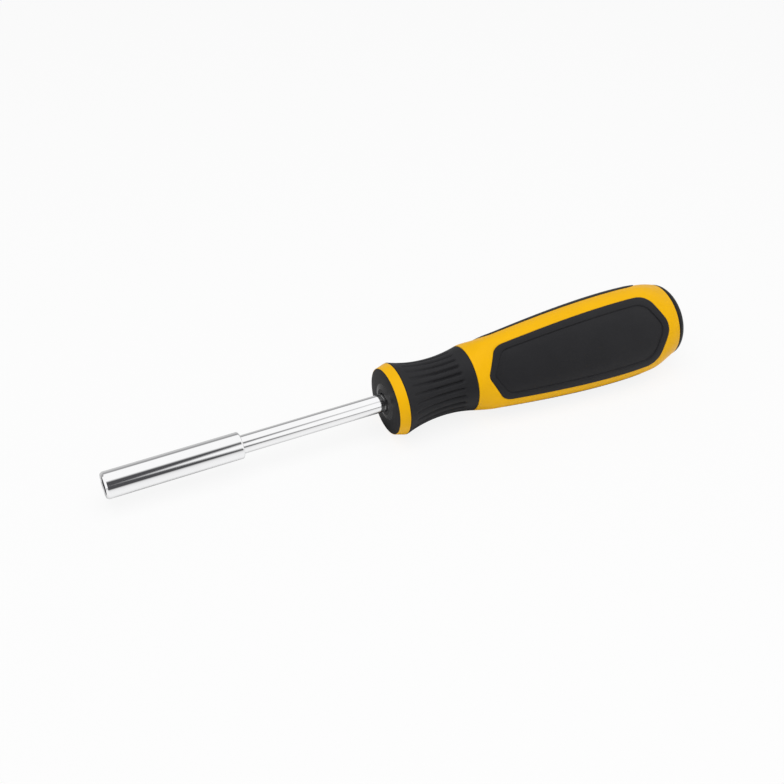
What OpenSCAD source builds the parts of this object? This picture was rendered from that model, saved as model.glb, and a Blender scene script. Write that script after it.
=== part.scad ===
// Bit holder screwdriver: a chromed blade with a hexagon bit socket, in a three-lobed handle
// of a hard core, a yellow shell and black soft grips.
// The axis is X. The origin is the centre of the socket's mouth and the butt is towards +X.

/* [Blade] */
// From the mouth of the socket to the front of the handle
blade_l = 100.4; // [85:0.1:150]
// Length of the bit sleeve
sleeve_l = 47; // [38:0.1:60]
// Outside diameter of the bit sleeve
sleeve_d = 9.3; // [9:0.1:12]
// Chamfer round the mouth of the sleeve, across the radius
mouth_chamfer = 0.45; // [0.2:0.05:0.6]
// Chamfer round the mouth, along the axis
mouth_chamfer_l = 0.7; // [0.3:0.1:1.5]
// Rounding of the sleeve's rear edge
sleeve_round = 0.6; // [0.2:0.1:1]
// Diameter of the shaft
shaft_d = 6.35; // [5.8:0.05:7]
// Radial clearance of the shaft in the sleeve
shaft_fit = 0.01; // [0.01:0.01:0.05]

/* [Bit socket] */
// Across the flats of a bit's shank
bit_af = 6.35; // [6:0.05:6.6]
// Clearance across the flats
bit_gap = 0.1; // [0.05:0.01:0.2]
// From the mouth to the face of the magnet
socket_depth = 13; // [10:0.5:16]
// Length of the magnet
magnet_l = 5; // [3:0.5:8]
// Radial clearance round the magnet
magnet_gap = 0.1; // [0.05:0.05:0.3]
// Wire of the spring ring that holds the bit
clip_wire = 0.8; // [0.6:0.05:0.9]
// From the mouth to the middle of the spring ring
clip_at = 4.5; // [3:0.5:7]
// Opening of the spring ring, in degrees
clip_open = 60; // [30:5:90]
// How far the spring ring stands back from a bit's flats
clip_back = 0.08; // [0.05:0.01:0.15]
// Clearance of the spring ring in its groove
clip_gap = 0.05; // [0.03:0.01:0.1]

/* [Tang] */
// Length of shaft inside the handle
tang_l = 70; // [50:1:85]
// Span of the flattened wings
wing_w = 11; // [8:0.5:12]
// Thickness of the wings
wing_t = 2.4; // [1.5:0.1:3]
// Length of the wings
wing_l = 14; // [8:1:20]
// From the end of the tang to the wings
wing_end = 8; // [4:1:15]

/* [Handle front] */
// Diameter at the rear of the front ring
ring_d = 26; // [25.6:0.1:30]
// Diameter at its front
ring_front_d = 24; // [23:0.1:25.5]
// Length of the front ring
ring_l = 3.7; // [3.2:0.1:6]
// Yellow edge left round the black front face
ring_rim = 0.15; // [0.1:0.05:0.5]
// How far the black front face stands out of the ring
nose_out = 0.1; // [0.05:0.05:0.3]
// Thickness of the black front face
nose_t = 2.4; // [1.5:0.1:2.8]
// Diameter at its back
nose_back_d = 21; // [18:0.1:22]
// Rise of the front face from its rim to the foot of the collar
nose_rise = 0.4; // [0.1:0.1:1]
// Diameter of the low collar round the shaft, at its foot
collar_d = 13; // [11:0.1:16]
// Diameter at the collar's top
collar_top_d = 9.6; // [9:0.1:10.8]
// Height of the collar over the front face
collar_h = 0.4; // [0.2:0.1:1]
// Diameter of the recess round the shaft
recess_d = 6.8; // [6.8:0.1:8.8]
// Depth of the recess, from the rim of the front face
recess_depth = 1.8; // [0.5:0.1:2.2]

/* [Finger grip] */
// Length of the finger grip
waist_l = 27.1; // [24:0.1:32]
// Diameter at the narrowest place
waist_d = 21; // [20:0.02:21.1]
// From the front ring to the narrowest place
waist_low = 15.6; // [14:0.1:16.3]
// Radius of the waist's hollow curve
waist_arc = 48; // [46:1:70]
// Thickness of the soft sleeve at the narrowest place
grip_t = 1.3; // [1:0.1:2]
// Number of grooves
groove_count = 24; // [12:1:30]
// Radius of a groove's section
groove_r = 0.75; // [0.5:0.05:1]
// Depth of a groove
groove_depth = 0.55; // [0.3:0.05:0.7]
// Plain band in front of the grooves
groove_front = 2.4; // [2:0.1:6]
// Plain band behind the grooves
groove_back = 4.0; // [2:0.1:6]

/* [Body] */
// Length of the yellow body behind the finger grip
body_l = 82.7; // [75:0.1:95]
// From the body's front to its shoulder
shoulder_at = 5.9; // [4:0.1:8]
// Diameter at the shoulder
shoulder_d = 25.4; // [25:0.02:27]
// Widening of the radius per millimetre at the shoulder
shoulder_slope = 0.11; // [0.08:0.005:0.14]
// From the body's front to its fattest place
belly_at = 59.4; // [50:0.1:65]
// Mean diameter at the fattest place
belly_d = 33.3; // [31:0.1:36]
// Mean diameter at the rear end
tail_d = 27.4; // [27.2:0.1:29]
// Narrowing of the radius per millimetre at the rear end
tail_slope = 0.33; // [0.2:0.01:0.45]
// Rise of the three lobes over the mean radius
lobe_rise = 1.15; // [0.6:0.01:1.5]
// Length over which the lobes grow
lobe_in = 7; // [5:0.5:14]
// Length over which the lobes fade
lobe_out = 11; // [10:0.5:25]
// Wall of the tube under the finger grip
tube_t = 1.2; // [0.8:0.1:1.6]

/* [Grip panels] */
// Width of the yellow strip between two panels
strip_w = 6.9; // [5:0.1:10]
// Thickness of a panel
panel_t = 1.6; // [1:0.1:1.8]
// From the body's front to the point of a panel's nose
panel_front = 4.4; // [3:0.1:8]
// From the point of a panel's tail to the body's rear
panel_back = 4.0; // [3:0.1:8]
// Length of the slanted nose
nose_slant = 5.1; // [3:0.1:8]
// Length of the slanted tail
tail_slant = 6.7; // [4:0.1:9]
// Rounding of the nose's point
nose_round = 6; // [3:0.5:8]
// Rounding of the front corners
front_round = 4.5; // [2:0.5:5]
// Rounding of the rear corners
rear_round = 7; // [3:0.5:9]
// Rounding of the tail's point
tail_round = 10; // [4:0.5:12]
// How far a panel's border stands out of the yellow body
panel_out = 0.2; // [0.05:0.05:0.3]
// Width of the raised border round a panel's field
border_w = 3.0; // [1:0.1:4]
// Depth of a panel's field below its border
field_depth = 0.3; // [0.1:0.05:0.6]

/* [End cap] */
// Diameter of the end cap
cap_d = 27.2; // [25:0.1:27.2]
// Length of the end cap's dome
cap_l = 6; // [4:0.1:9]
// Length of the end cap's spigot
spigot_l = 7; // [4:0.5:12]

/* [Fits] */
// Gap left between moulded layers
bond_gap = 0.05; // [0.03:0.01:0.1]

/* [Hidden] */
$fn = 64;
chrome = [0.82, 0.83, 0.85];
spring_steel = [0.45, 0.46, 0.48];
magnet_grey = [0.30, 0.31, 0.33];
yellow = [0.97, 0.62, 0.03];
hard_black = [0.10, 0.10, 0.11];
soft_black = [0.16, 0.16, 0.18];
// Cuts run this far past the faces that they open
past = 1;

// Places along the axis
handle_x = blade_l;
waist_x = handle_x + ring_l;
body_x = waist_x + waist_l;
shoulder_x = body_x + shoulder_at;
belly_x = body_x + belly_at;
tail_x = body_x + body_l;
core_end = tail_x - spigot_l;
tang_end = handle_x + tang_l;
shaft_front = socket_depth + magnet_l;

// Radii, from the outside in
ring_r = ring_d / 2;
ring_front_r = ring_front_d / 2;
nose_r = ring_front_r - ring_rim;
waist_r = waist_d / 2;
tube_r = waist_r - grip_t;
core_r = tube_r - tube_t - bond_gap;
bore_r = core_r + bond_gap;
shaft_r = shaft_d / 2;
sleeve_bore_r = shaft_r + shaft_fit;
socket_r = (bit_af + bit_gap) / 2 / cos(30);
clip_r = bit_af / 2 + clip_back + clip_wire / 2;
clip_groove_r = clip_r + clip_wire / 2 + clip_gap;

// Curve from station a to station b, each [x, radius, slope]
function curve(a, b, x) =
    let (l = b[0] - a[0], u = (x - a[0]) / l, v = 1 - u)
    a[1] * (1 + 2 * u) * v * v + b[1] * u * u * (3 - 2 * u) + l * u * v * (a[2] * v - b[2] * u);
// Smooth step from 0 to 1
function ease(u) = let (c = min(max(u, 0), 1)) c * c * (3 - 2 * c);

// Radius of the waist's hollow at x, and the slope with which it meets the body
function waist_radius(x) =
    let (run = x - waist_x - waist_low) waist_r + waist_arc - sqrt(waist_arc * waist_arc - run * run);
neck_r = waist_radius(body_x);
neck_slope = (waist_l - waist_low) / (waist_r + waist_arc - neck_r);

// Mean radius of the body at x, and the rise of its lobes there
neck = [body_x, neck_r, neck_slope];
shoulder = [shoulder_x, shoulder_d / 2, shoulder_slope];
belly = [belly_x, belly_d / 2, 0];
tail = [tail_x, tail_d / 2, -tail_slope];
function body_radius(x) =
    x < shoulder_x ? curve(neck, shoulder, x)
    : x < belly_x ? curve(shoulder, belly, x)
    : curve(belly, tail, x);
function lobe(x) = lobe_rise * ease((x - body_x) / lobe_in) * ease((tail_x - x) / lobe_out);

// Point of the body's skin at x, where the skin faces w degrees from a panel's facing, sunk by inset
function skin(x, w, facing, inset) =
    let (
        a = (facing + w + 360) % 360,
        e = lobe(x),
        h = body_radius(x) - inset - e * cos(3 * w),
        k = 3 * e * sin(3 * w)
    )
    [x, h * cos(a) - k * sin(a), h * sin(a) + k * cos(a)];

// Distance round the skin at x from a panel's middle line, and the facing at a given distance
function girth(x, w) = body_radius(x) * w * PI / 180 + 8 / 3 * lobe(x) * sin(3 * w);
function facing_at(x, g, w, tries = 6) =
    tries == 0 ? w
    : let (rate = (body_radius(x) + 8 * lobe(x) * cos(3 * w)) * PI / 180)
    facing_at(x, g, w - (girth(x, w) - g) / rate, tries - 1);
// Half the width of a panel at x
function panel_half(x) = girth(x, 60) - strip_w / 2;

// The panel's outline laid flat, as half of a hexagon with rounded corners
flat_half = panel_half(belly_x);
nose_tip = [body_x + panel_front, 0];
front_corner = [nose_tip[0] + nose_slant, flat_half];
tail_tip = [tail_x - panel_back, 0];
rear_corner = [tail_tip[0] - tail_slant, flat_half];
function unit(v) = v / norm(v);
function mirrored(p) = [p[0], -p[1]];
// Arc that rounds corner p between its neighbours a and b, in n steps
function rounded(a, p, b, r, n) =
    let (
        u = unit(a - p),
        v = unit(b - p),
        half = acos(u * v) / 2,
        c = p + unit(u + v) * r / sin(half),
        s = p + u * r / tan(half) - c,
        e = p + v * r / tan(half) - c,
        from = atan2(s[1], s[0]),
        turn = sign(cross(s, e)) * (180 - 2 * half)
    )
    [for (i = [0:n]) c + r * [cos(from + turn * i / n), sin(from + turn * i / n)]];
// The points that cut the stretch from p to q into n steps, without its ends
function between(p, q, n) = [for (i = [1:n - 1]) p + (q - p) * i / n];
arc_steps = 4;
slant_steps = 3;
side_steps = 18;
nose_arc = rounded(mirrored(front_corner), nose_tip, front_corner, nose_round, 2 * arc_steps);
front_arc = rounded(nose_tip, front_corner, rear_corner, front_round, arc_steps);
rear_arc = rounded(front_corner, rear_corner, tail_tip, rear_round, arc_steps);
tail_arc = rounded(rear_corner, tail_tip, mirrored(rear_corner), tail_round, 2 * arc_steps);
half_outline = concat(
    [for (i = [arc_steps:2 * arc_steps]) nose_arc[i]],
    between(nose_arc[2 * arc_steps], front_arc[0], slant_steps),
    front_arc,
    between(front_arc[arc_steps], rear_arc[0], side_steps),
    rear_arc,
    between(rear_arc[arc_steps], tail_arc[0], slant_steps),
    [for (i = [0:arc_steps]) tail_arc[i]]
);
last = len(half_outline) - 1;
loop_n = 2 * last;
// Index on the half outline of point i of the closed loop, and the side that it lies on
function half_i(i) = i <= last ? i : loop_n - i;
function side(i) = i <= last ? 1 : -1;

// Point i of the outline drawn in towards the panel's spine by a share, as [x, facing]
spine_front = nose_tip[0] + 2 * nose_slant;
spine_back = tail_tip[0] - 2 * tail_slant;
outline_front = half_outline[0][0];
outline_back = half_outline[last][0];
function drawn_in(i, share) =
    let (
        p = half_outline[half_i(i)],
        along = (p[0] - outline_front) / (outline_back - outline_front),
        x = p[0] + (spine_front + (spine_back - spine_front) * along - p[0]) * share,
        g = panel_half(x) * p[1] / flat_half * (1 - share)
    )
    [x, side(i) * facing_at(x, g, g / body_radius(x) * 180 / PI)];
// Point i of the edge of the third of the body that holds a panel, as [x, facing]
corner_i = 2 * arc_steps + slant_steps - arc_steps / 2;
function third_edge(i) =
    let (k = half_i(i))
    k <= corner_i ? [body_x, side(i) * 60 * k / corner_i]
    : k >= last - corner_i ? [tail_x, side(i) * 60 * (last - k) / corner_i]
    : [body_x + body_l * (k - corner_i) / (last - 2 * corner_i), side(i) * 60];
// Point i on the way from that edge to the outline
function drawn_out(i, share) = let (p = drawn_in(i, 0)) p + (third_edge(i) - p) * share;

// Triangles between closed loops of points, from row a to row b, starting at point base
function strips(a, b, base) = [
    for (r = [a:b - 1]) for (i = [0:loop_n - 1])
        let (j = (i + 1) % loop_n, p = base + r * loop_n, q = p + loop_n)
        each [[p + i, p + j, q + j], [p + i, q + j, q + i]]
];

facings = [150, 30, 270];
edge_rows = 4;
field_rows = 5;
pocket_depth = panel_t + bond_gap;
// Skin of one third: the strip round the pocket, the pocket's wall and its floor
function third_points(facing) = concat(
    [for (r = [0:edge_rows]) for (i = [0:loop_n - 1])
        let (p = drawn_out(i, 1 - r / edge_rows)) skin(p[0], p[1], facing, 0)],
    [for (r = [0:field_rows]) for (i = [0:loop_n - 1])
        let (p = drawn_in(i, r / field_rows)) skin(p[0], p[1], facing, pocket_depth)]
);
// Rows of a third, without the row that starts it
third_last = edge_rows + 1 + field_rows;
third_n = (third_last + 1) * loop_n;
// Points of all three thirds on the front or rear end, in order round the axis
front_i = concat([for (k = [corner_i:-1:1]) loop_n - k], [for (k = [0:corner_i - 1]) k]);
rear_i = concat([for (k = [last + corner_i:-1:last + 1]) k], [for (k = [last:-1:last - corner_i + 1]) k]);
turn_order = [1, 0, 2];

module body_form() {
    polyhedron(
        points = [for (f = facings) each third_points(f)],
        faces = concat(
            [for (s = [0:2]) each strips(0, third_last, s * third_n)],
            [[for (s = turn_order) for (k = front_i) s * third_n + k]],
            [[for (m = [2:-1:0]) for (n = [len(rear_i) - 1:-1:0]) turn_order[m] * third_n + rear_i[n]]]
        )
    );
}

// A panel in its pocket: its top with a sunk field, and its flat back
border_share = border_w / flat_half;
gap_share = bond_gap / flat_half;
field_in = field_depth - panel_out;
panel_top = [[1, field_in], [0.7, field_in], [0.4, field_in],
    [border_share * 1.15, field_in], [border_share, -panel_out], [gap_share, -panel_out]];
panel_back_rows = [[gap_share, panel_t], [0.3, panel_t], [0.6, panel_t], [1, panel_t]];
panel_rows = concat(panel_top, panel_back_rows);
module grip_panel(facing) {
    color(soft_black) polyhedron(
        points = [for (r = panel_rows) for (i = [0:loop_n - 1])
            let (p = drawn_in(i, r[0])) skin(p[0], p[1], facing, r[1])],
        faces = strips(0, len(panel_rows) - 1, 0)
    );
}

// Turns a shape made about Z so that Z lies along the handle's axis
module along_axis(x = 0) {
    translate([x, 0, 0]) rotate([0, 90, 0]) children();
}

module rod(x, l, r) {
    along_axis(x) cylinder(h = l, r = r);
}

module bit_sleeve() {
    color(chrome) difference() {
        along_axis() rotate_extrude() {
            difference() {
                polygon([[0, 0], [sleeve_d / 2 - mouth_chamfer, 0], [sleeve_d / 2, mouth_chamfer_l],
                    [sleeve_d / 2, sleeve_l], [0, sleeve_l]]);
                translate([sleeve_d / 2 - sleeve_round, sleeve_l - sleeve_round]) difference() {
                    square(sleeve_round + past);
                    circle(sleeve_round);
                }
            }
        }
        along_axis(-past) cylinder(h = socket_depth + past, r = socket_r, $fn = 6);
        rod(socket_depth - bond_gap, sleeve_l, sleeve_bore_r);
        rod(clip_at - clip_wire / 2 - clip_gap, clip_wire + 2 * clip_gap, clip_groove_r);
    }
}

module retaining_ring() {
    color(spring_steel) along_axis(clip_at) rotate(clip_open / 2)
        rotate_extrude(angle = 360 - clip_open) translate([clip_r, 0]) circle(clip_wire / 2);
}

module magnet() {
    color(magnet_grey) rod(socket_depth, magnet_l, sleeve_bore_r - magnet_gap);
}

module wings(extra) {
    translate([tang_end - wing_end - wing_l - extra, -wing_w / 2 - extra, -wing_t / 2 - extra])
        cube([wing_l + 2 * extra, wing_w + 2 * extra, wing_t + 2 * extra]);
}

module shaft() {
    color(chrome) union() {
        rod(shaft_front, tang_end - shaft_front, shaft_r);
        wings(0);
    }
}

// The disc behind the front face, which narrows towards its back
module nose_disc(extra) {
    along_axis(handle_x) cylinder(h = nose_t + extra, r1 = nose_r + extra, r2 = nose_back_d / 2 + extra);
}

module handle_core() {
    collar_top = nose_rise + collar_h;
    color(hard_black) difference() {
        union() {
            nose_disc(0);
            along_axis(handle_x) rotate_extrude() polygon([
                [0, 0], [0, -collar_top], [collar_top_d / 2, -collar_top],
                [collar_d / 2, -nose_rise], [nose_r, 0]
            ]);
            rod(handle_x, core_end - handle_x, core_r);
        }
        rod(handle_x - collar_top - past, collar_top + recess_depth + past, recess_d / 2);
        rod(handle_x - past, tang_l + past + bond_gap, shaft_r + bond_gap);
        wings(bond_gap);
    }
}

// The front ring and the tube that ties it to the body, under the finger grip
module ring_and_tube() {
    along_axis(handle_x) rotate_extrude() polygon([
        [0, nose_out], [ring_front_r, nose_out], [ring_r, ring_l], [tube_r, ring_l],
        [tube_r, ring_l + waist_l + shoulder_at], [0, ring_l + waist_l + shoulder_at]
    ]);
}

module handle_shell() {
    color(yellow) difference() {
        union() {
            body_form();
            ring_and_tube();
        }
        rod(handle_x, tail_x - handle_x + past, bore_r);
        nose_disc(bond_gap);
    }
}

// A groove follows the waist's hollow, bent about the same centre
module groove() {
    groove_path = waist_arc + groove_depth - groove_r;
    front_turn = asin((waist_low - groove_front) / waist_arc);
    back_turn = asin((waist_l - groove_back - waist_low) / waist_arc);
    translate([waist_x + waist_low, 0, waist_r + waist_arc]) rotate([90, 0, 0])
        rotate(-90 - front_turn) rotate_extrude(angle = front_turn + back_turn, $fn = 96)
        translate([groove_path, 0]) circle(groove_r, $fn = 24);
}

module finger_grip() {
    color(soft_black) difference() {
        along_axis(waist_x + bond_gap) rotate_extrude() difference() {
            square([ring_r, waist_l - 2 * bond_gap]);
            translate([waist_r + waist_arc, waist_low - bond_gap]) circle(waist_arc, $fn = 180);
        }
        rod(waist_x - past, waist_l + 2 * past, tube_r + bond_gap);
        for (i = [0:groove_count - 1]) rotate([(i + 0.5) * 360 / groove_count, 0, 0]) groove();
    }
}

module grip_panel_left() {
    grip_panel(facings[0]);
}

module grip_panel_right() {
    grip_panel(facings[1]);
}

module grip_panel_under() {
    grip_panel(facings[2]);
}

module end_cap() {
    dome_steps = 16;
    dome = [for (i = [0:dome_steps])
        let (a = 90 * i / dome_steps) [cap_d / 2 * cos(a), bond_gap + cap_l * sin(a)]];
    color(hard_black) union() {
        along_axis(tail_x) rotate_extrude() polygon(concat([[0, bond_gap]], dome));
        rod(core_end + bond_gap, spigot_l, core_r);
    }
}

bit_sleeve();
retaining_ring();
magnet();
shaft();
handle_core();
handle_shell();
finger_grip();
grip_panel_left();
grip_panel_right();
grip_panel_under();
end_cap();
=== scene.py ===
import math

import bmesh
import bpy
import numpy as np
from mathutils import Matrix


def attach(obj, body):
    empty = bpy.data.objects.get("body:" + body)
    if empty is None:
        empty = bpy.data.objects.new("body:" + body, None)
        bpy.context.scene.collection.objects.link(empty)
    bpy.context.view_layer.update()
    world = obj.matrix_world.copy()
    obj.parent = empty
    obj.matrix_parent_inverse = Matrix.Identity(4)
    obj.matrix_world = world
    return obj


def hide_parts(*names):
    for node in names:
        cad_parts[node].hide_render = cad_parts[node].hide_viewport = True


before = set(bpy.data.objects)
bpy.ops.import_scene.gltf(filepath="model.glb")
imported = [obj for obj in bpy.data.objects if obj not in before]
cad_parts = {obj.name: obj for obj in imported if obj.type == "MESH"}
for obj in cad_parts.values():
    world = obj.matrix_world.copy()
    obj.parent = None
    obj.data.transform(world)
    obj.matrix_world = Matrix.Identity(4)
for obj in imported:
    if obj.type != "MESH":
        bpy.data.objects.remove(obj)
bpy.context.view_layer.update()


# Shaft: a bright round steel bar, chromed, pressed into the bit sleeve in front and moulded into
# the handle behind. Its tail is forged out into two flat wings, so it can't turn or pull out.
mm = 0.001
shaft_r = 3.175 * mm
shaft_front = 18.0 * mm
shaft_chamfer = 0.4 * mm
tang_end = 170.4 * mm
wing_from, wing_to = 148.4 * mm, 162.4 * mm
wing_half_span, wing_half_thick = 5.5 * mm, 1.2 * mm
shaft_steps, shaft_stations = 120, 60
tiny = 1e-9


def around(n):
    """Angles of n points round the axis, from +Y towards +Z."""
    return np.arange(n) * 2 * math.pi / n


def hoop(x, r, n, turn=0.0):
    """Loop of n points round the axis at x, from a turn on. The radius may change round the loop."""
    a = around(n) + turn
    r = np.broadcast_to(r, n)
    return np.stack([np.full(n, x), r * np.cos(a), r * np.sin(a)], axis=1)


def lofted(loops, closed):
    """Points and faces of a skin over loops of equal length. An open one gets a face on each end."""
    rows, n = len(loops), len(loops[0])
    faces = []
    for r in range(rows if closed else rows - 1):
        a, b = r * n, (r + 1) % rows * n
        faces += [(a + i, a + (i + 1) % n, b + (i + 1) % n, b + i) for i in range(n)]
    if not closed:
        faces += [tuple(range(n)), tuple(range((rows - 1) * n, rows * n))]
    return np.concatenate(loops), faces


def made(name, node, slot, finish, verts, faces, crease=32.0, weld=0.0):
    """Turns points and faces into a piece that stands for a CAD node and rides with it.

    Edges bent by more than the crease, in degrees, stay sharp. Points within the weld become one.
    """
    mesh = bpy.data.meshes.new(name)
    mesh.from_pydata([tuple(v) for v in verts], [], faces)
    work = bmesh.new()
    work.from_mesh(mesh)
    if weld:
        bmesh.ops.remove_doubles(work, verts=work.verts, dist=weld)
    bmesh.ops.dissolve_degenerate(work, edges=work.edges, dist=tiny)
    bmesh.ops.recalc_face_normals(work, faces=work.faces)
    work.to_mesh(mesh)
    work.free()
    mesh.shade_smooth()
    mesh.set_sharp_from_angle(angle=math.radians(crease))
    mesh.materials.append(finish)
    piece = bpy.data.objects.new(name, mesh)
    bpy.context.scene.collection.objects.link(piece)
    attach(piece, "root")
    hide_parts(node)
    return piece


def winged(r, span, thick, n):
    """Radius round the axis of a round bar of radius r with a flat plate across it."""
    across = np.maximum(np.abs(np.cos(around(n))), tiny)
    upright = np.maximum(np.abs(np.sin(around(n))), tiny)
    return np.maximum(np.minimum(span / across, thick / upright), r)


def node_group(name, inputs, outputs):
    """Shader group with named value inputs and outputs, and its two end nodes."""
    group = bpy.data.node_groups.new(name, "ShaderNodeTree")
    for label, value in inputs:
        socket = group.interface.new_socket(label, in_out="INPUT", socket_type="NodeSocketFloat")
        socket.default_value = value
    for label in outputs:
        group.interface.new_socket(label, in_out="OUTPUT", socket_type="NodeSocketFloat")
    return group, group.nodes.new("NodeGroupInput"), group.nodes.new("NodeGroupOutput")


def feed(tree, socket, value):
    """Feeds an input of a node from another node's output, or sets a number on it."""
    if isinstance(value, bpy.types.NodeSocket):
        tree.links.new(value, socket)
    else:
        socket.default_value = value


def ramp(tree, value, low, high, to_low=0.0, to_high=1.0):
    """Maps a value from one range to another with soft ends. Returns the output."""
    node = tree.nodes.new("ShaderNodeMapRange")
    node.interpolation_type = "SMOOTHSTEP"
    tree.links.new(value, node.inputs["Value"])
    limits = {"From Min": low, "From Max": high, "To Min": to_low, "To Max": to_high}
    for label, number in limits.items():
        node.inputs[label].default_value = number
    return node.outputs["Result"]


def object_noise(tree, per_metre, detail, stretch=(1.0, 1.0, 1.0)):
    """Noise fixed to the piece, with a scale per metre. Returns its value."""
    place = tree.nodes.new("ShaderNodeTexCoord")
    mapping = tree.nodes.new("ShaderNodeMapping")
    mapping.inputs["Scale"].default_value = stretch
    noise = tree.nodes.new("ShaderNodeTexNoise")
    noise.inputs["Detail"].default_value = detail
    feed(tree, noise.inputs["Scale"], per_metre)
    tree.links.new(place.outputs["Object"], mapping.inputs["Vector"])
    tree.links.new(mapping.outputs["Vector"], noise.inputs["Vector"])
    return noise.outputs["Fac"]


def new_finish(name, metallic, roughness, specular=0.5):
    """New finish, with its node tree and its Principled shader."""
    finish = bpy.data.materials.new(name)
    finish.use_nodes = True
    shader = finish.node_tree.nodes["Principled BSDF"]
    shader.inputs["Metallic"].default_value = metallic
    shader.inputs["Roughness"].default_value = roughness
    shader.inputs["Specular IOR Level"].default_value = specular
    return finish, finish.node_tree, shader


def two_tones(tree, shader, mask, dark, light):
    """Base colour that runs between two tones by a mask."""
    mix = tree.nodes.new("ShaderNodeMix")
    mix.data_type = "RGBA"
    tree.links.new(mask, mix.inputs["Factor"])
    mix.inputs["A"].default_value = (*dark, 1.0)
    mix.inputs["B"].default_value = (*light, 1.0)
    tree.links.new(mix.outputs["Result"], shader.inputs["Base Color"])


def uneven(tree, shader, mask, low, high, roughness, waver=0.15):
    """Roughness that wavers about its mean by a share, as a mask runs from low to high."""
    wavering = ramp(tree, mask, low, high, roughness * (1 - waver), roughness * (1 + waver))
    tree.links.new(wavering, shader.inputs["Roughness"])


def raised(tree, shader, height, strength, depth):
    """Bump on a shader from a height of 0 to 1 over a depth in metres."""
    bump = tree.nodes.new("ShaderNodeBump")
    bump.inputs["Strength"].default_value = strength
    bump.inputs["Distance"].default_value = depth
    tree.links.new(height, bump.inputs["Height"])
    tree.links.new(bump.outputs["Normal"], shader.inputs["Normal"])


# Marks that turning and polishing leave on a round steel piece: fine hoops round the axis, and a
# soft cloudiness in the plate.
plate_hoops_per_metre = 9000.0
hoop_detail, hoop_stretch = 2.0, (1.0, 0.02, 0.02)
hoop_low, hoop_high, hoop_strength = 0.3, 0.7, 0.06
cloud_per_metre, cloud_detail, clouded_share = 160.0, 3.0, 0.95
turned_marks, marks_in, marks_out = node_group(
    "turned_marks", [("Hoops per metre", plate_hoops_per_metre)], ["Hoops", "Cloud"]
)
hoops = object_noise(turned_marks, marks_in.outputs["Hoops per metre"], hoop_detail, hoop_stretch)
cloud = object_noise(turned_marks, cloud_per_metre, cloud_detail)
turned_marks.links.new(hoops, marks_out.inputs["Hoops"])
turned_marks.links.new(cloud, marks_out.inputs["Cloud"])


def turned_finish(name, tone, roughness, hoops_per_metre, depth):
    """Finish of a turned steel piece, plated or bare."""
    finish, tree, shader = new_finish(name, metallic=1.0, roughness=roughness)
    marks = tree.nodes.new("ShaderNodeGroup")
    marks.node_tree = turned_marks
    marks.inputs["Hoops per metre"].default_value = hoops_per_metre
    clouded = [c * clouded_share for c in tone]
    two_tones(tree, shader, marks.outputs["Cloud"], clouded, tone)
    uneven(tree, shader, marks.outputs["Hoops"], hoop_low, hoop_high, roughness)
    raised(tree, shader, marks.outputs["Hoops"], hoop_strength, depth)
    return finish


chrome = turned_finish(
    "chrome_plate",
    tone=(0.93, 0.93, 0.937),
    roughness=0.055,
    hoops_per_metre=plate_hoops_per_metre,
    depth=0.02 * mm,
)
wing_outline = winged(shaft_r, wing_half_span, wing_half_thick, shaft_steps)
bar_stations = np.linspace(shaft_front + shaft_chamfer, wing_from, shaft_stations)
shaft_loops = [
    hoop(shaft_front, shaft_r - shaft_chamfer, shaft_steps),
    *[hoop(x, shaft_r, shaft_steps) for x in bar_stations],
    hoop(wing_from, wing_outline, shaft_steps),
    hoop(wing_to, wing_outline, shaft_steps),
    hoop(wing_to, shaft_r, shaft_steps),
    hoop(tang_end - shaft_chamfer, shaft_r, shaft_steps),
    hoop(tang_end, shaft_r - shaft_chamfer, shaft_steps),
]
made("shaft_bar", "shaft", "chrome_steel", chrome, *lofted(shaft_loops, False))


# Magnet: a nickel plated disc at the bottom of the socket, glued to the front of the shaft.
# It holds the bit, and its face shows at the end of the hexagon.
socket_depth = 13.0 * mm
magnet_r = 3.085 * mm
magnet_chamfer = 0.3 * mm
magnet_steps = 72
nickel = turned_finish(
    "nickel_plate", tone=(0.62, 0.61, 0.60), roughness=0.22, hoops_per_metre=4000.0, depth=0.01 * mm
)
magnet_profile = [
    (socket_depth, magnet_r - magnet_chamfer),
    (socket_depth + magnet_chamfer, magnet_r),
    (shaft_front - magnet_chamfer, magnet_r),
    (shaft_front, magnet_r - magnet_chamfer),
]
magnet_loops = [hoop(x, r, magnet_steps) for x, r in magnet_profile]
made("magnet_disc", "magnet", "magnet", nickel, *lofted(magnet_loops, False))


# Bit sleeve: a turned steel tube with a hexagon pressed into its mouth, chromed and pushed on the
# shaft. The mouth has a long chamfer outside, a lead-in for the bit, and a groove for the ring.
sleeve_l = 47.0 * mm
sleeve_r = 4.65 * mm
sleeve_bore_r = 3.185 * mm
chamfer_r, chamfer_l = 0.45 * mm, 0.7 * mm
hexagon_flat = 3.225 * mm
lead_in_r, lead_in = 3.9 * mm, 0.35 * mm
mouth_round, chamfer_round = 0.12 * mm, 0.3 * mm
heel_round, bore_round = 0.6 * mm, 0.15 * mm
straight_lead = 0.03 * mm
clip_at = 4.5 * mm
clip_groove_half = 0.45 * mm
clip_groove_r = 4.105 * mm
sleeve_steps = 240


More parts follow.
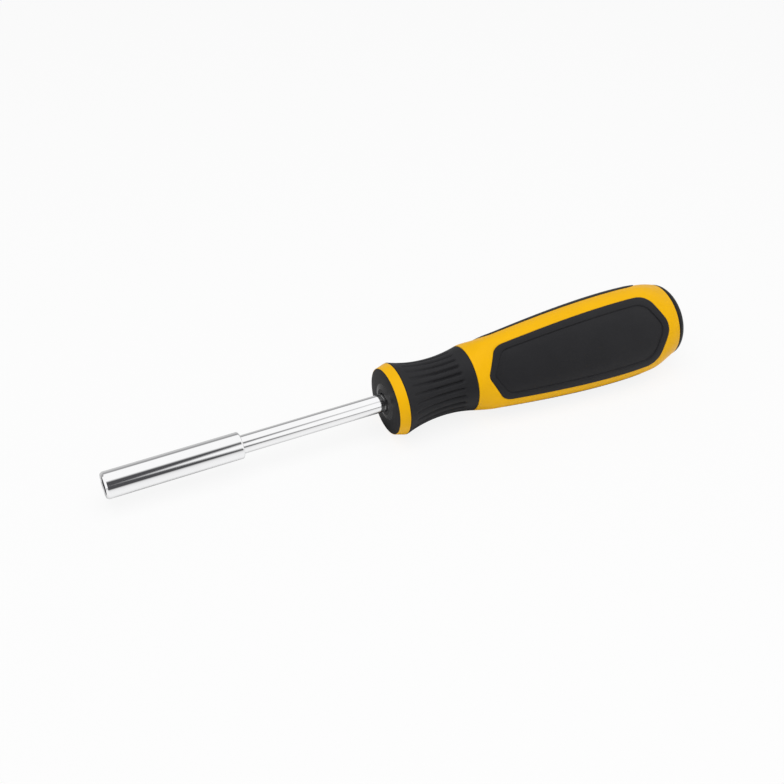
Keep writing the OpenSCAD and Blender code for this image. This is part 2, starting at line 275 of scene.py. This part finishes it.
def eased(profile, steps=5, lead=0.0):
    """Profile of (x, r) or (x, r, rounding) corners, with each rounding drawn as an arc.

    A lead adds a point on the straight before and behind each arc, so that the straight shades flat.
    """
    points = []
    corners = [(p[0], p[1], p[2] if len(p) > 2 else 0.0) for p in profile]
    for i, (x, r, rounding) in enumerate(corners):
        p = np.array([x, r])
        if rounding == 0.0:
            points.append(p)
            continue
        before = np.array(corners[i - 1][:2]) - p
        after = np.array(corners[(i + 1) % len(corners)][:2]) - p
        u, v = before / np.linalg.norm(before), after / np.linalg.norm(after)
        half = math.acos(np.clip(u @ v, -1, 1)) / 2
        centre = p + (u + v) / np.linalg.norm(u + v) * rounding / math.sin(half)
        cut = rounding / math.tan(half)
        start, end = p + u * cut - centre, p + v * cut - centre
        span = math.pi - 2 * half
        arc = [
            centre + (math.sin((1 - t) * span) * start + math.sin(t * span) * end) / math.sin(span)
            for t in np.linspace(0, 1, steps + 1)
        ]
        points += [p + u * (cut + lead), *arc, p + v * (cut + lead)] if lead else arc
    return points


def hexagon(flat, n):
    """Radius round the axis of a hexagon with corners up and down."""
    side_turn = math.pi / 3
    from_flat = (around(n) - math.pi / 2) % side_turn - side_turn / 2
    return flat / np.cos(from_flat)


# The first point is only there to give the mouth's inner edge its rounding
sleeve_profile = eased(
    [
        (lead_in, lead_in_r),
        (0.0, lead_in_r, mouth_round),
        (0.0, sleeve_r - chamfer_r, mouth_round),
        (chamfer_l, sleeve_r, chamfer_round),
        (sleeve_l, sleeve_r, heel_round),
        (sleeve_l, sleeve_bore_r, bore_round),
        (socket_depth, sleeve_bore_r),
    ],
    lead=straight_lead,
)[1:]
flats = hexagon(hexagon_flat, sleeve_steps)
sleeve_loops = [
    *[hoop(x, r, sleeve_steps) for x, r in sleeve_profile],
    hoop(socket_depth, flats, sleeve_steps),
    hoop(clip_at + clip_groove_half, flats, sleeve_steps),
    hoop(clip_at + clip_groove_half, clip_groove_r, sleeve_steps),
    hoop(clip_at - clip_groove_half, clip_groove_r, sleeve_steps),
    hoop(clip_at - clip_groove_half, flats, sleeve_steps),
    hoop(lead_in, flats, sleeve_steps),
]
sleeve = made("bit_sleeve_tube", "bit_sleeve", "chrome_steel", chrome, *lofted(sleeve_loops, True))
# The plate ends at the lead-in, so the walls of the socket are dull bare steel
bare_steel = turned_finish(
    "bare_steel", tone=(0.10, 0.10, 0.11), roughness=0.4, hoops_per_metre=5000.0, depth=0.02 * mm
)
sleeve.data.materials.append(bare_steel)
for face in sleeve.data.polygons:
    from_axis = math.hypot(face.center.y, face.center.z)
    if lead_in < face.center.x <= socket_depth and from_axis < clip_groove_r:
        face.material_index = 1


# Spring ring: a split ring of drawn wire, sprung into the sleeve's groove. It catches on the corners
# of the bit's shank.
wire_r = 0.4 * mm
clip_r = 3.655 * mm
clip_half_open = math.radians(30)
clip_steps, wire_steps = 72, 16
blunt_share = 0.05
drawn_wire = turned_finish(
    "drawn_wire", tone=(0.45, 0.45, 0.46), roughness=0.3, hoops_per_metre=3000.0, depth=0.01 * mm
)
wire_a = around(wire_steps)
clip_start, clip_stop = clip_half_open, 2 * math.pi - clip_half_open
clip_loops = []
for at_turn in np.linspace(clip_start, clip_stop, clip_steps + 1):
    from_end = min(at_turn - clip_start, clip_stop - at_turn) * clip_r
    short_of_full = max(0.0, 1 - from_end / wire_r)
    thick = wire_r * math.sqrt(max(blunt_share, 1 - short_of_full**2))
    along = clip_at + thick * np.sin(wire_a)
    out = clip_r + thick * np.cos(wire_a)
    clip_loops.append(np.stack([along, out * np.sin(at_turn), out * np.cos(at_turn)], axis=1))
made("spring_ring_wire", "retaining_ring", "spring_steel", drawn_wire, *lofted(clip_loops, False))


# Handle core: hard black plastic moulded round the tang. Only its front end shows, as the slightly
# domed face inside the yellow ring, with a low collar and a narrow recess where the shaft goes in.
handle_x = 100.4 * mm
nose_r, nose_back_r = 11.85 * mm, 10.5 * mm
nose_t = 2.4 * mm
nose_round = 0.1 * mm
nose_rise = 0.4 * mm
dome_shares = np.linspace(0.3, 0.96, 12)
core_r = 7.95 * mm
core_end = 206.9 * mm
dome_x = handle_x - nose_rise
collar_r, collar_top_r = 6.5 * mm, 4.8 * mm
collar_rise = 0.4 * mm
collar_x = dome_x - collar_rise
collar_top_round, collar_foot_round = 0.5 * mm, 0.8 * mm
recess_r = 3.4 * mm
recess_depth = 1.8 * mm
recess_floor_round, recess_edge_round = 0.05 * mm, 0.06 * mm
bond_gap = 0.05 * mm
core_steps = 144


def math_node(tree, operation, a, b=None):
    """Math node on one or two sockets or numbers. Returns its output."""
    node = tree.nodes.new("ShaderNodeMath")
    node.operation = operation
    feed(tree, node.inputs[0], a)
    if b is not None:
        feed(tree, node.inputs[1], b)
    return node.outputs[0]


# Surface of a moulded piece: a fine grain from the mould, and a slow unevenness of the colour
grain_detail, grain_low, grain_high, grain_depth = 2.0, 0.2, 0.9, 0.05 * mm
mottle_per_metre, mottle_detail, mottle_low, mottle_high = 90.0, 4.0, 0.3, 0.7
moulded, moulded_in, moulded_out = node_group(
    "moulded_surface", [("Grain per metre", 3500.0), ("Pebble", 0.0)], ["Grain", "Mottle"]
)
pebble_place = moulded.nodes.new("ShaderNodeTexCoord")
pebble = moulded.nodes.new("ShaderNodeTexVoronoi")
moulded.links.new(pebble_place.outputs["Object"], pebble.inputs["Vector"])
moulded.links.new(moulded_in.outputs["Grain per metre"], pebble.inputs["Scale"])
pebbled = math_node(moulded, "MULTIPLY", pebble.outputs["Distance"], moulded_in.outputs["Pebble"])
fine_grain = object_noise(moulded, moulded_in.outputs["Grain per metre"], grain_detail)
grain = math_node(moulded, "ADD", fine_grain, pebbled)
mottle = object_noise(moulded, mottle_per_metre, mottle_detail)
moulded.links.new(grain, moulded_out.inputs["Grain"])
moulded.links.new(mottle, moulded_out.inputs["Mottle"])


def moulded_finish(name, tones, roughness, specular, grain_per_metre, strength, pebbles=0.0):
    """Finish of a moulded piece: two close tones, and a grain in its roughness and its surface."""
    finish, tree, shader = new_finish(name, metallic=0.0, roughness=roughness, specular=specular)
    surface = tree.nodes.new("ShaderNodeGroup")
    surface.node_tree = moulded
    surface.inputs["Grain per metre"].default_value = grain_per_metre
    surface.inputs["Pebble"].default_value = pebbles
    two_tones(tree, shader, ramp(tree, surface.outputs["Mottle"], mottle_low, mottle_high), *tones)
    uneven(tree, shader, surface.outputs["Grain"], grain_low, grain_high, roughness)
    raised(tree, shader, surface.outputs["Grain"], strength, grain_depth)
    return finish


hard_black_tones = (0.016, 0.016, 0.017), (0.019, 0.019, 0.020)
hard_black_grain = 2600.0
hard_black = moulded_finish(
    "hard_black_plastic",
    hard_black_tones,
    roughness=0.42,
    specular=0.07,
    grain_per_metre=hard_black_grain,
    strength=0.12,
)
tang_hole = shaft_r + bond_gap
wing_hole = winged(tang_hole, wing_half_span + bond_gap, wing_half_thick + bond_gap, core_steps)
core_profile = eased(
    [
        (handle_x + recess_depth, tang_hole),
        (handle_x + recess_depth, recess_r, recess_floor_round),
        (collar_x, recess_r, recess_edge_round),
        (collar_x, collar_top_r, collar_top_round),
        (dome_x, collar_r, collar_foot_round),
        *[(dome_x + nose_rise * u * u, collar_r + (nose_r - collar_r) * u) for u in dome_shares],
        (handle_x, nose_r, nose_round),
        (handle_x + nose_t, nose_back_r),
        (handle_x + nose_t, core_r),
        (core_end, core_r),
    ]
)
core_loops = [
    hoop(tang_end + bond_gap, tang_hole, core_steps),
    hoop(wing_to + bond_gap, tang_hole, core_steps),
    hoop(wing_to + bond_gap, wing_hole, core_steps),
    hoop(wing_from - bond_gap, wing_hole, core_steps),
    hoop(wing_from - bond_gap, tang_hole, core_steps),
    *[hoop(x, r, core_steps) for x, r in core_profile],
]
core = made("handle_core_nose", "handle_core", "hard_black", hard_black, *lofted(core_loops, False))
# The flank of the collar comes smoother out of the mould than the faces beside it
smooth_black = moulded_finish(
    "smooth_black_plastic",
    hard_black_tones,
    roughness=0.2,
    specular=0.2,
    grain_per_metre=hard_black_grain,
    strength=0.03,
)
core.data.materials.append(smooth_black)
flank_from = collar_top_r - 0.3 * mm
for face in core.data.polygons:
    if face.center.x < dome_x and math.hypot(face.center.y, face.center.z) > flank_from:
        face.material_index = 1


# Handle shell: hard yellow plastic moulded over the core in one shot. It makes the front ring, a tube
# under the soft waist, and the body of three lobes with a pocket for a soft panel between each two.
ring_r, ring_front_r = 13.0 * mm, 11.95 * mm
ring_l = 3.7 * mm
ring_front_round, ring_back_round = 0.06 * mm, 0.2 * mm
nose_out = 0.1 * mm
waist_l = 27.1 * mm
waist_r = 10.5 * mm
waist_low = 15.6 * mm
waist_arc = 48.0 * mm
tube_r = 9.2 * mm
body_l = 82.7 * mm
lobes = 3
lobe_rise, lobe_in, lobe_out = 1.15 * mm, 7.0 * mm, 11.0 * mm
strip_w = 6.9 * mm
panel_t = 1.6 * mm
waist_x = handle_x + ring_l
body_x = waist_x + waist_l
tail_x = body_x + body_l
tail_r = 13.7 * mm
bore_r = core_r + bond_gap
weld_reach = 0.001 * mm


def waist_radius(x):
    """Radius of the waist, which is hollowed along an arc."""
    return waist_r + waist_arc - np.sqrt(waist_arc**2 - (x - waist_x - waist_low) ** 2)


# Stations of the body's mean radius: place, radius and slope
neck_r = waist_radius(body_x)
neck = (body_x, neck_r, (waist_l - waist_low) / (waist_r + waist_arc - neck_r))
shoulder = (body_x + 5.9 * mm, 12.7 * mm, 0.11)
belly = (body_x + 59.4 * mm, 16.65 * mm, 0.0)
tail = (tail_x, tail_r, -0.33)


def curve(a, b, x):
    """Smooth curve through two stations."""
    run = b[0] - a[0]
    u = (x - a[0]) / run
    v = 1 - u
    return a[1] * (1 + 2 * u) * v * v + b[1] * u * u * (3 - 2 * u) + run * u * v * (a[2] * v - b[2] * u)


def ease(u):
    """Soft step from 0 to 1 as u goes from 0 to 1."""
    u = np.clip(u, 0, 1)
    return u * u * (3 - 2 * u)


def body_radius(x):
    """Mean radius of the body."""
    rear = np.where(x < belly[0], curve(shoulder, belly, x), curve(belly, tail, x))
    return np.where(x < shoulder[0], curve(neck, shoulder, x), rear)


def lobe(x):
    """How far the lobes rise over the mean radius. They run out at both ends of the body."""
    return lobe_rise * ease((x - body_x) / lobe_in) * ease((tail_x - x) / lobe_out)


def skin(x, w, facing, inset):
    """Points of the body's skin where it faces w from a panel's facing, sunk by inset."""
    a = facing + w
    e = lobe(x)
    h = body_radius(x) - inset - e * np.cos(lobes * w)
    k = lobes * e * np.sin(lobes * w)
    return np.stack([x, h * np.cos(a) - k * np.sin(a), h * np.sin(a) + k * np.cos(a)], axis=-1)


def girth(x, w):
    """Distance round the skin from a panel's middle line to the facing w."""
    return body_radius(x) * w + (lobes**2 - 1) / lobes * lobe(x) * np.sin(lobes * w)


def facing_at(x, g, rounds=8):
    """Facing of the skin at a distance round it from a panel's middle line, neared in rounds."""
    w = g / body_radius(x)
    for _ in range(rounds):
        w = w - (girth(x, w) - g) / (body_radius(x) + (lobes**2 - 1) * lobe(x) * np.cos(lobes * w))
    return w


half_third = math.pi / lobes


def panel_half(x):
    """Half the width of a panel round the skin, where its sides run along the strips."""
    return girth(x, half_third) - strip_w / 2


# Outline of a panel laid flat: a long hexagon with rounded corners
flat_half = float(panel_half(belly[0]))
nose_slant, tail_slant = 5.1 * mm, 6.7 * mm
nose_tip = body_x + 4.4 * mm
tail_tip = tail_x - 4.0 * mm
front_corner, rear_corner = nose_tip + nose_slant, tail_tip - tail_slant
tip_round, front_round, rear_round, tail_round = 6.0 * mm, 4.5 * mm, 7.0 * mm, 10.0 * mm
arc_steps, slant_steps, side_steps = 10, 8, 56
panel_corners = [
    (nose_tip, 0.0, tip_round),
    (front_corner, flat_half, front_round),
    (rear_corner, flat_half, rear_round),
    (tail_tip, 0.0, tail_round),
    (rear_corner, -flat_half, rear_round),
    (front_corner, -flat_half, front_round),
]
arcs = np.array(eased(panel_corners, 2 * arc_steps)).reshape(len(panel_corners), 2 * arc_steps + 1, 2)


def between(p, q, steps):
    """Points that cut the way from p to q into steps, without its ends."""
    return [p + (q - p) * k / steps for k in range(1, steps)]


half_outline = np.array(
    [
        *arcs[0][arc_steps:],
        *between(arcs[0][-1], arcs[1][0], slant_steps),
        *arcs[1][::2],
        *between(arcs[1][-1], arcs[2][0], side_steps),
        *arcs[2][::2],
        *between(arcs[2][-1], arcs[3][0], slant_steps),
        *arcs[3][: arc_steps + 1],
    ]
)
last = len(half_outline) - 1
outline = np.concatenate([half_outline, half_outline[last - 1 : 0 : -1] * (1, -1)])
loop_n = len(outline)
spine_front = nose_tip + 2 * nose_slant
spine_back = tail_tip - 2 * tail_slant


def drawn_in(share):
    """Outline drawn in towards the panel's spine by a share, as places and facings."""
    along = (outline[:, 0] - outline[0, 0]) / (outline[last, 0] - outline[0, 0])
    x = outline[:, 0] + (spine_front + (spine_back - spine_front) * along - outline[:, 0]) * share
    return x, facing_at(x, panel_half(x) * outline[:, 1] / flat_half * (1 - share))


# Edge of the third of the body that holds a panel, point by point with the panel's outline
corner_i = arc_steps + slant_steps + arc_steps // 2
third_edge = np.zeros((loop_n, 2))
for i in range(loop_n):
    k, sign = (i, 1) if i <= last else (loop_n - i, -1)
    if k <= corner_i:
        third_edge[i] = body_x, sign * half_third * k / corner_i
    elif k >= last - corner_i:
        third_edge[i] = tail_x, sign * half_third * (last - k) / corner_i
    else:
        third_edge[i] = body_x + body_l * (k - corner_i) / (last - 2 * corner_i), sign * half_third


def drawn_out(share):
    """Outline drawn out towards the edge of its third of the body by a share."""
    x, w = drawn_in(0.0)
    return x + (third_edge[:, 0] - x) * share, w + (third_edge[:, 1] - w) * share


facings = {"left": math.radians(150), "right": math.radians(30), "under": math.radians(270)}
pocket_depth = panel_t + bond_gap
strip_shares = [*np.linspace(1.0, 0.2, 9), 0.12, 0.06]
pocket_edge = [(0.03, 0.01 * mm), (0.012, 0.04 * mm), (0.0, 0.12 * mm)]
pocket_shares = np.linspace(0.0, 1.0, 6)
shell_verts, shell_faces = [], []


def add_to_shell(verts, faces):
    """Adds a skin to the shell, without the two faces on its ends."""
    base = sum(len(v) for v in shell_verts)
    shell_verts.append(verts)
    shell_faces.extend(tuple(base + i for i in face) for face in faces[:-2])


for facing in facings.values():
    rows = [skin(*drawn_out(share), facing, 0.0) for share in strip_shares]
    rows += [skin(*drawn_out(share), facing, inset) for share, inset in pocket_edge]
    rows += [skin(*drawn_in(share), facing, pocket_depth) for share in pocket_shares]
    add_to_shell(*lofted(rows, False))
seat_t = nose_t + bond_gap
seat_front_r = nose_r + bond_gap + (nose_back_r - nose_r) * nose_out / seat_t
shell_round_steps = 8
shell_profile = eased(
    [
        (tail_x, tail_r),
        (tail_x, bore_r),
        (handle_x + seat_t, bore_r),
        (handle_x + seat_t, nose_back_r + bond_gap),
        (handle_x + nose_out, seat_front_r),
        (handle_x + nose_out, ring_front_r, ring_front_round),
        (waist_x, ring_r, ring_back_round),
        (waist_x, tube_r),
        (body_x, tube_r),
        (body_x, neck_r),
    ],
    shell_round_steps,
)
# As many points round as the thirds have on their ends, from the edge of a third on
shell_steps = 2 * lobes * corner_i
shell_turn = facings["right"] - half_third
shell_loops = [hoop(x, r, shell_steps, shell_turn) for x, r in shell_profile]
add_to_shell(*lofted(shell_loops, False))
hard_yellow = moulded_finish(
    "hard_yellow_plastic",
    ((0.90, 0.475, 0.0), (0.93, 0.49, 0.0)),
    roughness=0.4,
    specular=0.15,
    grain_per_metre=2200.0,
    strength=0.10,
)
made(
    "handle_shell_body", "handle_shell", "hard_yellow", hard_yellow,
    np.concatenate(shell_verts), shell_faces, crease=38.0, weld=weld_reach,
)


# Finger grip: soft black rubber moulded over the shell's tube, hollowed for the fingers, with grooves
# that run along it, stop short of both ends and grow deeper from the front to the middle.
groove_count = 24
groove_depth = 0.75 * mm
groove_half = 0.48 * mm
groove_from = waist_x + 2.4 * mm
groove_to = body_x - 4.0 * mm
groove_end = 1.2 * mm
groove_front_share, groove_deepening = 0.45, 12.0 * mm
grip_edge = 0.2 * mm
grip_front, grip_back = waist_x + bond_gap, body_x - bond_gap
steps_per_groove, grip_stations = 20, 111
grip_steps = groove_count * steps_per_groove
soft_black = moulded_finish(
    "soft_black_rubber",
    ((0.0125, 0.0125, 0.0145), (0.0145, 0.0145, 0.0165)),
    roughness=0.55,
    specular=0.28,
    grain_per_metre=3000.0,
    strength=0.5,
    pebbles=0.5,
)
pitch = 2 * math.pi / groove_count
from_groove = np.abs((around(grip_steps) / pitch) % 1.0 - 0.5) * pitch
grip_loops = [hoop(x, tube_r + bond_gap, grip_steps) for x in (grip_back, grip_front)]
for x in np.linspace(grip_front, grip_back, grip_stations):
    r = min(waist_radius(x), ring_r)
    edge = max(0.0, grip_edge - min(x - grip_front, grip_back - x))
    r -= grip_edge - math.sqrt(max(0.0, grip_edge**2 - edge**2))
    run = ease((x - groove_from) / groove_end) * ease((groove_to - x) / groove_end)
    deepened = groove_front_share + (1 - groove_front_share) * ease((x - groove_from) / groove_deepening)
    groove = groove_depth * run * deepened * np.exp(-((from_groove * r / groove_half) ** 2))
    grip_loops.append(hoop(x, r - groove, grip_steps))
made(
    "finger_grip_sleeve", "finger_grip", "soft_black", soft_black,
    *lofted(grip_loops, True), crease=45.0,
)


# Grip panels: soft black rubber moulded into the shell's three pockets, a little proud of the yellow.
# Each has a smooth border, then a narrow groove and a step down to a long plain field.
panel_out = 0.2 * mm
border_run = 6.5 * mm
border_w = 3.0 * mm
field_depth = 0.3 * mm
groove_bottom = 1.35 * field_depth
field_shares = (0.5, 0.65, 0.8, 0.9, 1.0)
# Across a panel's top: how far in from its edge, and how far below the border
panel_edge = [(0.05 * mm, 0.16 * mm), (0.09 * mm, 0.06 * mm), (0.18 * mm, 0.01 * mm), (0.4 * mm, 0.0)]
panel_step = [
    (border_w - 1.6 * mm, -0.03 * mm),
    (border_w - 0.3 * mm, 0.0),
    (border_w, 0.06 * mm),
    (border_w + 0.2 * mm, groove_bottom),
    (border_w + 0.4 * mm, groove_bottom),
    (border_w + 0.8 * mm, field_depth),
]
panel_top = [
    *[(width / flat_half, inset) for width, inset in panel_edge + panel_step],
    *[(share, field_depth) for share in field_shares],
]
panel_back = (1.0, 0.6, 0.3, bond_gap / flat_half)
panel_front = [(drawn_in(share), inset) for share, inset in panel_top]


def panel_inset(x, inset):
    """How far a point of a panel lies below the yellow skin. The border comes up behind the nose."""
    return inset - panel_out * ease((x - nose_tip) / border_run)


for side, facing in facings.items():
    rows = [skin(x, w, facing, panel_t) for x, w in map(drawn_in, panel_back)]
    rows += [skin(x, w, facing, panel_inset(x, inset)) for (x, w), inset in panel_front]
    panel_verts, panel_faces = lofted(rows, False)
    made(
        f"grip_panel_{side}_pad", f"grip_panel_{side}", "soft_black", soft_black,
        panel_verts, panel_faces[:-2], crease=50.0, weld=weld_reach,
    )


# End cap: hard black plastic, moulded as a low dome that closes the rear of the shell. A spigot on
# its back is pushed into the shell's bore and holds it.
cap_r = 13.6 * mm
cap_l = 6.0 * mm
cap_x = tail_x + bond_gap
cap_edge = 0.05 * mm
dome_turns = np.linspace(0.03, 1.55, 40)
cap_profile = [(core_end + bond_gap, core_r), (cap_x, core_r), (cap_x, cap_r - cap_edge)]
cap_profile += [(cap_x + cap_l * math.sin(t), cap_r * math.cos(t)) for t in dome_turns]
cap_loops = [hoop(x, r, core_steps) for x, r in cap_profile]
made("end_cap_dome", "end_cap", "hard_black", hard_black, *lofted(cap_loops, False))


# Stage: a pale floor under the tool, which lies on its front ring and its under panel, one soft lamp
# nearly overhead, and a white room with dark sides that show in the chrome.
floor_half = 8.0
floor_drop = 0.02 * mm
floor_tones = (0.86, 0.86, 0.86), (0.88, 0.88, 0.88)
floor_noise_per_metre, floor_noise_detail = 3.0, 2.0
under_stations = 400
under_x = np.linspace(nose_tip, tail_tip, under_stations)
under_z = lobe(under_x) + field_depth - panel_out - body_radius(under_x)
fall = (under_z + ring_r) / (under_x - waist_x)
touch = np.argmin(fall)
floor_mesh = bpy.data.meshes.new("floor")
floor_mesh.from_pydata(
    [(sx * floor_half, sy * floor_half, 0.0) for sx, sy in ((-1, -1), (1, -1), (1, 1), (-1, 1))],
    [],
    [(0, 1, 2, 3)],
)
floor = bpy.data.objects.new("floor", floor_mesh)
floor.location = (under_x[touch], 0.0, under_z[touch] - floor_drop)
floor.rotation_euler = (0.0, -math.atan(fall[touch]), 0.0)
bpy.context.scene.collection.objects.link(floor)


def product(tree, *factors):
    """Product of two or more sockets or numbers. Returns its output."""
    result = factors[0]
    for factor in factors[1:]:
        result = math_node(tree, "MULTIPLY", result, factor)
    return result


def seen_straight(tree, rays):
    """1 for a ray from the camera or through glass, and 0 for all others, from a Light Path node."""
    return math_node(tree, "MAXIMUM", rays.outputs["Is Camera Ray"], rays.outputs["Is Transmission Ray"])


def white_glow(tree, strength):
    """White light from the surface itself, of a strength that is a socket or a number."""
    glow = tree.nodes.new("ShaderNodeEmission")
    glow.inputs["Color"].default_value = (1.0, 1.0, 1.0, 1.0)
    feed(tree, glow.inputs["Strength"], strength)
    return glow.outputs["Emission"]


def mixed(tree, share, first, second):
    """Mix of two shaders, with a share of the second one. Returns its output."""
    mix = tree.nodes.new("ShaderNodeMixShader")
    feed(tree, mix.inputs["Fac"], share)
    tree.links.new(first, mix.inputs[1])
    tree.links.new(second, mix.inputs[2])
    return mix.outputs["Shader"]


pale_floor, floor_tree, floor_shader = new_finish("pale_floor", metallic=0.0, roughness=0.9, specular=0.1)
floor_noise = object_noise(floor_tree, floor_noise_per_metre, floor_noise_detail)
two_tones(floor_tree, floor_shader, floor_noise, *floor_tones)
floor_rays = floor_tree.nodes.new("ShaderNodeLightPath")
lit_floor = floor_shader.outputs["BSDF"]
# Seen straight, the floor is nearly white and keeps some of the tool's shadow
seen_share = 0.86
seen_glow = product(floor_tree, seen_straight(floor_tree, floor_rays), seen_share)
seen_floor = mixed(floor_tree, seen_glow, lit_floor, white_glow(floor_tree, 1.0))
# In a mirror the floor shows painted light and shade: a white glow along the near side of the tool, a
# painted falloff further off on that side, and painted shadow all over the far side and close to where
# the tool stands on it.
mirrored_share = 0.85
white_reach = 0.11
far_from, far_to, far_shadow_glow = -0.010, 0.004, 0.58
contact_reach, contact_samples = 0.06, 16
contact_dark, contact_clear, contact_glow = 0.42, 0.64, 0.0
floor_place = floor_tree.nodes.new("ShaderNodeTexCoord")
floor_parts = floor_tree.nodes.new("ShaderNodeSeparateXYZ")
floor_tree.links.new(floor_place.outputs["Object"], floor_parts.inputs["Vector"])
# Painted falloff of the mirrored glow away from the tool on its near side
near_side = math_node(floor_tree, "MINIMUM", floor_parts.outputs["Y"], 0.0)
away = product(floor_tree, near_side, 1 / white_reach)
painted_falloff = math_node(floor_tree, "ADD", product(floor_tree, away, away), 1.0)
# Painted shadow of the tool, which darkens the mirrored glow all over the far side
far_painted_shadow = ramp(floor_tree, floor_parts.outputs["Y"], far_from, far_to, 1.0, far_shadow_glow)
# Painted contact shadow: the mirrored glow goes dark where the tool hems the floor in, by the occlusion
# of its points
open_sky = floor_tree.nodes.new("ShaderNodeAmbientOcclusion")
open_sky.samples = contact_samples
open_sky.inputs["Distance"].default_value = contact_reach
clear = ramp(floor_tree, open_sky.outputs["AO"], contact_dark, contact_clear, contact_glow, 1.0)
painted_mirror_glow = math_node(floor_tree, "DIVIDE", product(floor_tree, far_painted_shadow, clear), painted_falloff)
mirrored_floor = mixed(floor_tree, mirrored_share, lit_floor, white_glow(floor_tree, painted_mirror_glow))
whole_floor = mixed(floor_tree, floor_rays.outputs["Is Glossy Ray"], seen_floor, mirrored_floor)
floor_tree.links.new(whole_floor, floor_tree.nodes["Material Output"].inputs["Surface"])
floor_mesh.materials.append(pale_floor)

lamp_size, lamp_energy = 0.7, 3.1
lamp_place, lamp_tilt = (0.08, -0.17, 0.70), math.radians(13.5)
lamp_data = bpy.data.lights.new("soft_lamp", "AREA")
lamp_data.shape = "SQUARE"
lamp_data.size = lamp_size
lamp_data.energy = lamp_energy
lamp = bpy.data.objects.new("soft_lamp", lamp_data)
lamp.location = lamp_place
lamp.rotation_euler = (lamp_tilt, 0.0, 0.0)
lamp.visible_glossy = False
bpy.context.scene.collection.objects.link(lamp)

# The room by the direction of a mirrored ray. Its turn is 0 level towards the near side, half pi
# straight up and pi level towards the far side, and its lean is how far it points towards the butt.
room = bpy.data.worlds.new("white_room")
room.use_nodes = True
bpy.context.scene.world = room
room_tree = room.node_tree
room_tree.nodes.clear()
direction = room_tree.nodes.new("ShaderNodeTexCoord")
parts = room_tree.nodes.new("ShaderNodeSeparateXYZ")
room_tree.links.new(direction.outputs["Generated"], parts.inputs["Vector"])
lean = parts.outputs["X"]
towards_near = product(room_tree, parts.outputs["Y"], -1.0)
turn = math_node(room_tree, "ARCTAN2", parts.outputs["Z"], towards_near)
# The near side is dark from a little below level to high up, but not towards the mouth, and less so
# towards the butt. A light gap in it opens towards the butt, fast at first and then more slowly.
soft = 0.16
dark_low, dark_high = -0.16, 1.15
mouth_light, mouth_dark = -0.55, -0.40
butt_from, butt_to, butt_share = 0.19, 0.31, 0.7
gap_mid, gap_from, gap_rate = 0.51, 0.137, 4.0
gap_knee, gap_slow_rate = 0.173, 2.04
dark_start = ramp(room_tree, turn, dark_low - soft, dark_low + soft)
dark_stop = ramp(room_tree, turn, dark_high - soft, dark_high + soft, 1.0, 0.0)
past_start = math_node(room_tree, "SUBTRACT", lean, gap_from)
gap_slow = math_node(room_tree, "ADD", product(room_tree, past_start, gap_slow_rate), gap_knee)
gap_half = math_node(room_tree, "MINIMUM", product(room_tree, past_start, gap_rate), gap_slow)
from_mid = math_node(room_tree, "ABSOLUTE", math_node(room_tree, "SUBTRACT", turn, gap_mid))
outside_gap = ramp(room_tree, math_node(room_tree, "SUBTRACT", from_mid, gap_half), -soft, soft)
off_mouth = ramp(room_tree, lean, mouth_light, mouth_dark)
off_butt = ramp(room_tree, lean, butt_from, butt_to, 1.0, butt_share)
near_dark = product(room_tree, dark_start, dark_stop, outside_gap, off_mouth, off_butt)
# The far side is darkest well above level, and grows paler down towards level
far_low, far_high = 2.38, 2.58
fade_from, fade_to, fade_dark, fade_pale = 2.50, 3.6, 0.75, 0.20
far_start = ramp(room_tree, turn, far_low, far_high)
far_fade = ramp(room_tree, turn, fade_from, fade_to, fade_dark, fade_pale)
far_dark = product(room_tree, far_start, far_fade)


def wall(tone, strength=1.0):
    """Light of one tone from the room, of a strength."""
    light = room_tree.nodes.new("ShaderNodeBackground")
    light.inputs["Color"].default_value = (*tone, 1.0)
    light.inputs["Strength"].default_value = strength
    return light.outputs["Background"]


# Light on the tool comes evenly from the whole room, and only a mirrored ray sees its dark sides.
# Seen straight, the room has the tone of the floor at the horizon.
room_light = wall((0.8, 0.8, 0.8), 0.68)
white_wall = wall((1.0, 1.0, 1.0), 1.04)
dark_wall = wall((0.075, 0.075, 0.080))
backdrop = wall((0.945, 0.945, 0.945))
dark = math_node(room_tree, "MAXIMUM", near_dark, far_dark)
walls = mixed(room_tree, dark, white_wall, dark_wall)
room_rays = room_tree.nodes.new("ShaderNodeLightPath")
mirrored_room = mixed(room_tree, room_rays.outputs["Is Glossy Ray"], room_light, walls)
whole_room = mixed(room_tree, seen_straight(room_tree, room_rays), mirrored_room, backdrop)
room_out = room_tree.nodes.new("ShaderNodeOutputWorld")
room_tree.links.new(whole_room, room_out.inputs["Surface"])
bpy.context.scene.view_settings.view_transform = "Standard"

# Camera: stands on the left of the tool, a little in front of it and above it
camera_right = (0.90423, -0.42704, 0.0)
camera_up = (0.26860, 0.56874, 0.77742)
camera_back = (-0.332, -0.703, 0.629)
camera_place = (-45.7 * mm, -314.61 * mm, 284.96 * mm)
camera_axes = zip(camera_right, camera_up, camera_back, camera_place)
camera_data = bpy.data.cameras.new("camera")
camera_data.sensor_width = 36.0
camera_data.lens = 59.23
camera = bpy.data.objects.new("camera", camera_data)
camera.matrix_world = Matrix([*camera_axes, (0, 0, 0, 1)])
bpy.context.scene.collection.objects.link(camera)
bpy.context.scene.camera = camera
